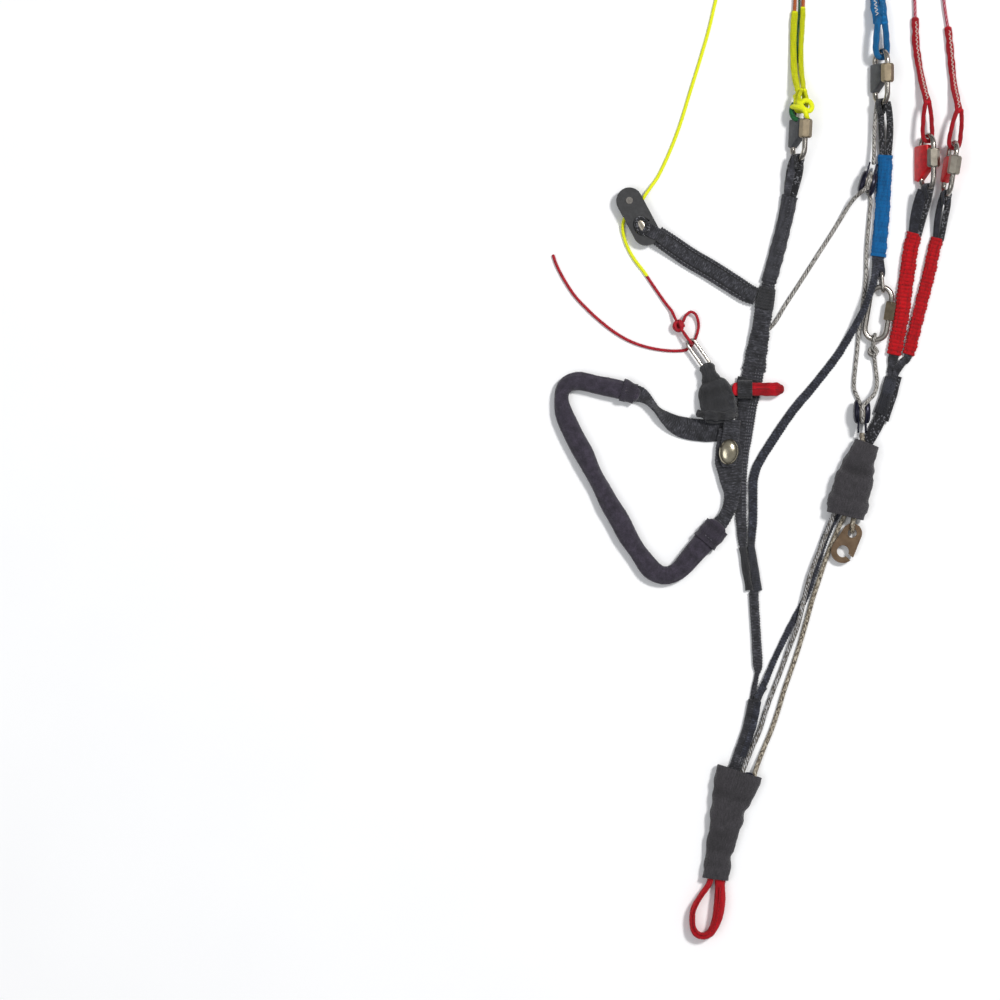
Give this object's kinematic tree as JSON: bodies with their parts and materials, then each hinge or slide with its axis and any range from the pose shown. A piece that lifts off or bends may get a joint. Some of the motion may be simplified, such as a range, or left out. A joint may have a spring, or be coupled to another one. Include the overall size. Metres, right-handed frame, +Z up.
{
  "type": "paraglider riser",
  "caption": "Paraglider riser lying flat: webbing straps with quick links to the wing lines, speed pulleys, swing hook, brake pulley and padded brake handle.",
  "frame": {"origin": "on the table, under the middle of the riser's box without the lines to the wing", "axes": "+Z up from the table, +Y along the riser towards the wing, +X to the right"},
  "size_m": [0.2622, 0.6218, 0.0213],
  "materials": {
    "red_webbing": "woven red webbing, slightly sheened",
    "neoprene": "matte wrinkled neoprene with a fine knit face",
    "dark_webbing": "woven charcoal webbing with pale flecks",
    "dark_cover": "stitched charcoal fabric",
    "red_cover": "ribbed red elastic fabric",
    "blue_cover": "ribbed blue elastic fabric",
    "steel": "polished stainless steel",
    "nut_steel": "satin stainless steel",
    "hook_steel": "tumbled stainless steel",
    "sheave_metal": "turned aluminium",
    "navy_metal": "dark blue anodised plate",
    "dark_plastic": "matte black moulding",
    "red_plastic": "glossy red moulding",
    "grey_cord": "grey braided cord",
    "speed_cord": "sand braided cord",
    "red_line": "red sheathed line",
    "blue_line": "blue sheathed line",
    "yellow_line": "yellow sheathed line",
    "grip_fabric": "padded charcoal knit"
  },
  "bodies": {
    "riser": {"hang_loop": "red_webbing", "main_sleeve": "neoprene", "root_web": "dark_webbing", "c_lower": "dark_webbing", "c_join_tube": "dark_cover", "c_web": "dark_webbing", "c_cover": "dark_cover", "brake_strap": "dark_webbing", "keeper_band": "dark_cover", "a_web": "dark_webbing", "a_sleeve": "neoprene", "a_join_tube": "dark_cover", "a1_web": "dark_webbing", "a2_web": "dark_webbing", "a_covers": "red_cover", "b_web": "dark_webbing", "b_cover": "blue_cover", "c_link": "steel", "b_link": "steel", "a1_link": "steel", "a2_link": "steel", "dark_inserts": "dark_plastic", "red_inserts": "red_plastic", "oval_link": "steel", "b_ring": "steel", "brake_pulley_body": "dark_plastic", "pulley_pins": "steel", "link_pulley_cheeks": "navy_metal", "speed_pulley_cheeks": "navy_metal", "link_cord": "grey_cord", "speed_cord": "speed_cord", "pulley_tethers": "grey_cord", "a1_line": "red_line", "a2_line": "red_line", "b_lines": "blue_line", "c_lines": "yellow_line", "brake_line": "yellow_line"},
    "handle": {"handle_head": "dark_cover", "handle_peg": "red_plastic", "handle_grip": "grip_fabric", "handle_ribbon": "dark_webbing", "snap_stud": "steel", "swivel_barrel": "dark_plastic", "brake_knot": "red_line", "brake_tail": "red_line"},
    "brake_sheave": {"brake_sheave": "sheave_metal"},
    "a_sheave": {"a_sheave": "sheave_metal"},
    "b_sheave": {"b_sheave": "sheave_metal"},
    "base_sheave": {"base_sheave": "sheave_metal"},
    "speed_sheave": {"speed_sheave": "sheave_metal"},
    "c_nut": {"c_nut": "nut_steel"},
    "b_nut": {"b_nut": "nut_steel"},
    "a1_nut": {"a1_nut": "nut_steel"},
    "a2_nut": {"a2_nut": "nut_steel"},
    "oval_nut": {"oval_nut": "nut_steel"},
    "hook": {"brummel_hook": "hook_steel"},
    "swivel": {"swivel_ring": "steel"},
    "flap": {"snap_flap": "dark_webbing", "snap_cap": "steel"}
  },
  "joints": [
    {"name": "handle_release", "type": "slide", "parent": "riser", "child": "handle", "axis": [-1, 0, 0], "range_m": [0, 0.042]},
    {"name": "brake_sheave_spin", "type": "hinge", "parent": "riser", "child": "brake_sheave", "pos_m": [-0.08, 0.1875, 0.0046], "axis": [0, 0, 1], "continuous": true},
    {"name": "a_sheave_spin", "type": "hinge", "parent": "riser", "child": "a_sheave", "pos_m": [0.0685, 0.0515, 0.0072], "axis": [1, 0, 0], "continuous": true},
    {"name": "b_sheave_spin", "type": "hinge", "parent": "riser", "child": "b_sheave", "pos_m": [0.0725, 0.1995, 0.0072], "axis": [0.9613, -0.2756, 0], "continuous": true},
    {"name": "base_sheave_spin", "type": "hinge", "parent": "riser", "child": "base_sheave", "pos_m": [-0.0044, -0.1829, 0.0046], "axis": [0, 0, 1], "continuous": true},
    {"name": "speed_sheave_spin", "type": "hinge", "parent": "riser", "child": "speed_sheave", "pos_m": [0.0636, 0.007, 0.0064], "axis": [0, 0, 1], "continuous": true},
    {"name": "c_nut_travel", "type": "slide", "parent": "riser", "child": "c_nut", "axis": [-0.0523, -0.9986, 0], "range_m": [0, 0.006]},
    {"name": "b_nut_travel", "type": "slide", "parent": "riser", "child": "b_nut", "axis": [0, -1, 0], "range_m": [0, 0.006]},
    {"name": "a1_nut_travel", "type": "slide", "parent": "riser", "child": "a1_nut", "axis": [0, -1, 0], "range_m": [0, 0.006]},
    {"name": "a2_nut_travel", "type": "slide", "parent": "riser", "child": "a2_nut", "axis": [-0.1564, -0.9877, 0], "range_m": [0, 0.006]},
    {"name": "oval_nut_travel", "type": "slide", "parent": "riser", "child": "oval_nut", "axis": [-0.1616, -0.9869, 0], "range_m": [0, 0.006]},
    {"name": "hook_swing", "type": "hinge", "parent": "riser", "child": "hook", "pos_m": [0.0625, -0.025, 0.0043], "axis": [0, 0, 1], "range_deg": [0, 60]},
    {"name": "swivel_turn", "type": "hinge", "parent": "handle", "child": "swivel", "pos_m": [-0.03, 0.0817, 0.0048], "axis": [-0.5793, 0.8151, 0], "range_deg": [-20, 20]},
    {"name": "flap_peel", "type": "hinge", "parent": "handle", "child": "flap", "pos_m": [-0.014, 0.047, 0.00605], "axis": [-1, 0, 0], "range_deg": [0, 75]}
  ],
  "couplings": [
    {"joint": "b_sheave_spin", "follows": "a_sheave_spin", "ratio": 1},
    {"joint": "speed_sheave_spin", "follows": "base_sheave_spin", "ratio": 1}
  ]
}
